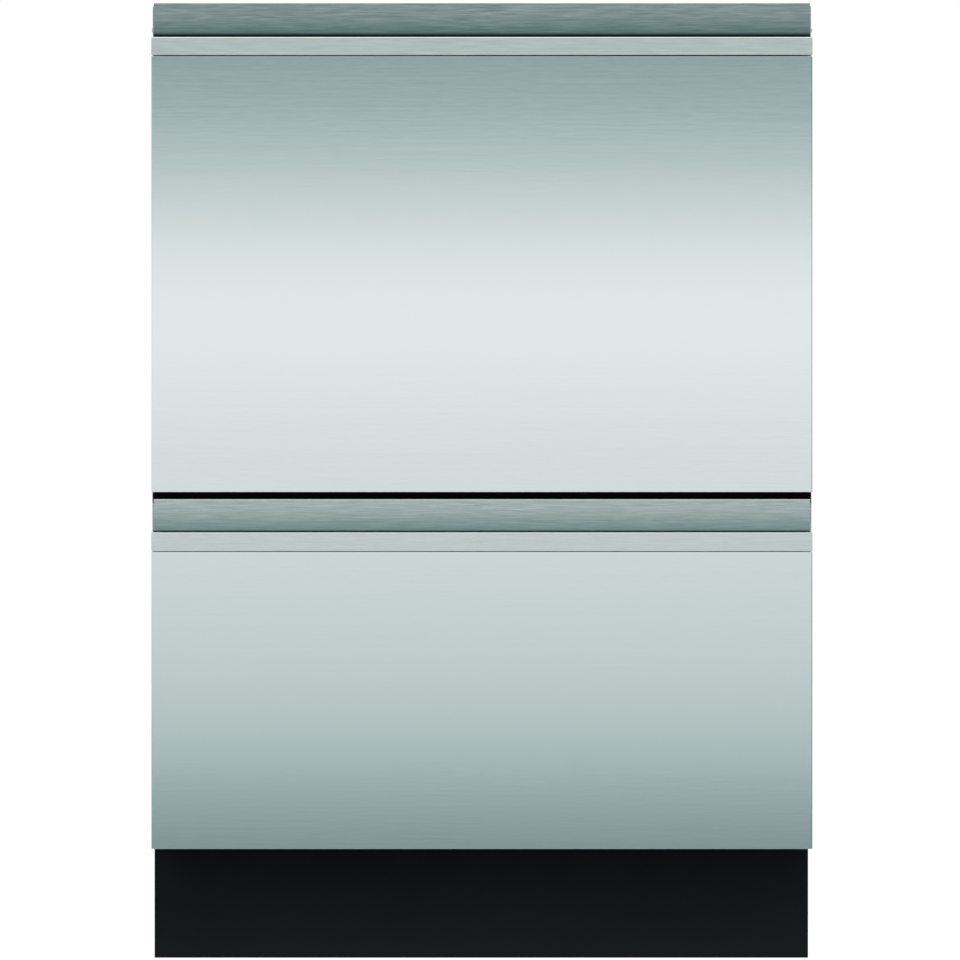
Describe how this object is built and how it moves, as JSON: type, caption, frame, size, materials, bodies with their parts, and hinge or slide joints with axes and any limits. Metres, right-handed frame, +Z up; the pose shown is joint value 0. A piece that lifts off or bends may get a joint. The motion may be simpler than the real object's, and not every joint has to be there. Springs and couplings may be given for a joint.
{
  "type": "double dishwasher drawer",
  "caption": "Built-in dishwasher with stacked steel-fronted drawers, each with a recessed finger pull, tub, wash system, rack and lid.",
  "frame": {"origin": "middle of the footprint of the whole machine, on the floor it stands on", "axes": "+X to the right as seen from the front, +Y from the fronts to the back, +Z up"},
  "size_m": [0.599, 0.573, 0.866],
  "materials": {
    "brushed_steel": "stainless steel sheet brushed along its width",
    "coated_sheet": "galvanised sheet, dull spangle",
    "zinc_steel": "zinc plated, satin",
    "black_paint": "black powder coat",
    "black_plastic": "fine moulded grain",
    "gloss_black": "gloss moulding",
    "tub_plastic": "smooth grey moulding",
    "lid_plastic": "smooth grey moulding",
    "seal_rubber": "dull",
    "pump_plastic": "glass filled moulding",
    "arm_plastic": "satin moulding",
    "filter_steel": "perforated sheet, satin",
    "rack_vinyl": "steel wire with a soft grey coating",
    "button_plastic": "satin silver moulding",
    "foot_steel": "zinc plated, dull"
  },
  "bodies": {
    "cabinet": {"side_panel_right": "coated_sheet", "side_panel_left": "coated_sheet", "rear_panel": "coated_sheet", "top_panel": "coated_sheet", "base_pan": "coated_sheet", "centre_rail": "black_paint", "toe_kick": "black_paint", "service_bracket": "black_plastic", "lower_slide_outer_right": "zinc_steel", "lower_slide_outer_left": "zinc_steel", "lower_lid_lifter_right": "black_plastic", "lower_lid_lifter_left": "black_plastic", "upper_slide_outer_right": "zinc_steel", "upper_slide_outer_left": "zinc_steel", "upper_lid_lifter_right": "black_plastic", "upper_lid_lifter_left": "black_plastic"},
    "foot_front_right": {"foot_front_right": "foot_steel"},
    "foot_front_left": {"foot_front_left": "foot_steel"},
    "foot_rear_right": {"foot_rear_right": "foot_steel"},
    "foot_rear_left": {"foot_rear_left": "foot_steel"},
    "lower_middle_slides": {"lower_slide_middle_right": "zinc_steel", "lower_slide_middle_left": "zinc_steel"},
    "lower_drawer": {"lower_slide_inner_right": "zinc_steel", "lower_slide_inner_left": "zinc_steel", "lower_door_skin": "brushed_steel", "lower_finger_pull": "brushed_steel", "lower_door_frame": "black_plastic", "lower_control_panel": "gloss_black", "lower_tub": "tub_plastic", "lower_wash_pump": "pump_plastic", "lower_filter_plate": "filter_steel", "lower_dispenser": "black_plastic", "lower_rack": "rack_vinyl"},
    "lower_power_button": {"lower_power_button": "button_plastic"},
    "lower_start_button": {"lower_start_button": "button_plastic"},
    "lower_spray_arm": {"lower_spray_arm": "arm_plastic"},
    "lower_dispenser_flap": {"lower_dispenser_flap": "black_plastic"},
    "lower_lid": {"lower_lid": "lid_plastic", "lower_lid_seal": "seal_rubber"},
    "upper_middle_slides": {"upper_slide_middle_right": "zinc_steel", "upper_slide_middle_left": "zinc_steel"},
    "upper_drawer": {"upper_slide_inner_right": "zinc_steel", "upper_slide_inner_left": "zinc_steel", "upper_door_skin": "brushed_steel", "upper_finger_pull": "brushed_steel", "upper_door_frame": "black_plastic", "upper_control_panel": "gloss_black", "upper_tub": "tub_plastic", "upper_wash_pump": "pump_plastic", "upper_filter_plate": "filter_steel", "upper_dispenser": "black_plastic", "upper_rack": "rack_vinyl"},
    "upper_power_button": {"upper_power_button": "button_plastic"},
    "upper_start_button": {"upper_start_button": "button_plastic"},
    "upper_spray_arm": {"upper_spray_arm": "arm_plastic"},
    "upper_dispenser_flap": {"upper_dispenser_flap": "black_plastic"},
    "upper_lid": {"upper_lid": "lid_plastic", "upper_lid_seal": "seal_rubber"},
    "upper_cup_shelf_right": {"upper_cup_shelf_right": "rack_vinyl"},
    "upper_cup_shelf_left": {"upper_cup_shelf_left": "rack_vinyl"}
  },
  "joints": [
    {"name": "foot_front_right_height", "type": "slide", "parent": "cabinet", "child": "foot_front_right", "axis": [0, 0, -1], "range_m": [0, 0.055]},
    {"name": "foot_front_left_height", "type": "slide", "parent": "cabinet", "child": "foot_front_left", "axis": [0, 0, -1], "range_m": [0, 0.055]},
    {"name": "foot_rear_right_height", "type": "slide", "parent": "cabinet", "child": "foot_rear_right", "axis": [0, 0, -1], "range_m": [0, 0.055]},
    {"name": "foot_rear_left_height", "type": "slide", "parent": "cabinet", "child": "foot_rear_left", "axis": [0, 0, -1], "range_m": [0, 0.055]},
    {"name": "lower_drawer_slide", "type": "slide", "parent": "cabinet", "child": "lower_drawer", "axis": [0, -1, 0], "range_m": [0, 0.5]},
    {"name": "lower_middle_slide", "type": "slide", "parent": "cabinet", "child": "lower_middle_slides", "axis": [0, -1, 0], "range_m": [0, 0.25]},
    {"name": "lower_lid_lift", "type": "slide", "parent": "cabinet", "child": "lower_lid", "axis": [0, 0, 1], "range_m": [0, 0.008]},
    {"name": "lower_spray_arm_spin", "type": "hinge", "parent": "lower_drawer", "child": "lower_spray_arm", "pos_m": [0, 0.00125, 0.1938], "axis": [0, 0, 1], "continuous": true},
    {"name": "lower_flap_hinge", "type": "hinge", "parent": "lower_drawer", "child": "lower_dispenser_flap", "pos_m": [-0.026, -0.2244, 0.3222], "axis": [-1, 0, 0], "range_deg": [0, 100]},
    {"name": "lower_power_press", "type": "slide", "parent": "lower_drawer", "child": "lower_power_button", "axis": [0, 0, -1], "range_m": [0, 0.001], "stiffness_N_per_m": 300, "springref_m": -0.001},
    {"name": "lower_start_press", "type": "slide", "parent": "lower_drawer", "child": "lower_start_button", "axis": [0, 0, -1], "range_m": [0, 0.001], "stiffness_N_per_m": 300, "springref_m": -0.001},
    {"name": "upper_drawer_slide", "type": "slide", "parent": "cabinet", "child": "upper_drawer", "axis": [0, -1, 0], "range_m": [0, 0.5]},
    {"name": "upper_middle_slide", "type": "slide", "parent": "cabinet", "child": "upper_middle_slides", "axis": [0, -1, 0], "range_m": [0, 0.25]},
    {"name": "upper_lid_lift", "type": "slide", "parent": "cabinet", "child": "upper_lid", "axis": [0, 0, 1], "range_m": [0, 0.008]},
    {"name": "upper_spray_arm_spin", "type": "hinge", "parent": "upper_drawer", "child": "upper_spray_arm", "pos_m": [0, 0.00125, 0.517], "axis": [0, 0, 1], "continuous": true},
    {"name": "upper_flap_hinge", "type": "hinge", "parent": "upper_drawer", "child": "upper_dispenser_flap", "pos_m": [-0.026, -0.2244, 0.7717], "axis": [-1, 0, 0], "range_deg": [0, 100]},
    {"name": "upper_power_press", "type": "slide", "parent": "upper_drawer", "child": "upper_power_button", "axis": [0, 0, -1], "range_m": [0, 0.001], "stiffness_N_per_m": 300, "springref_m": -0.001},
    {"name": "upper_start_press", "type": "slide", "parent": "upper_drawer", "child": "upper_start_button", "axis": [0, 0, -1], "range_m": [0, 0.001], "stiffness_N_per_m": 300, "springref_m": -0.001},
    {"name": "upper_cup_shelf_right_fold", "type": "hinge", "parent": "upper_drawer", "child": "upper_cup_shelf_right", "pos_m": [0.262, 0.00125, 0.7257], "axis": [0, 1, 0], "range_deg": [0, 85]},
    {"name": "upper_cup_shelf_left_fold", "type": "hinge", "parent": "upper_drawer", "child": "upper_cup_shelf_left", "pos_m": [-0.262, 0.00125, 0.7257], "axis": [0, -1, 0], "range_deg": [0, 85]}
  ],
  "couplings": [
    {"joint": "lower_middle_slide", "follows": "lower_drawer_slide", "ratio": 0.5},
    {"joint": "upper_middle_slide", "follows": "upper_drawer_slide", "ratio": 0.5}
  ]
}
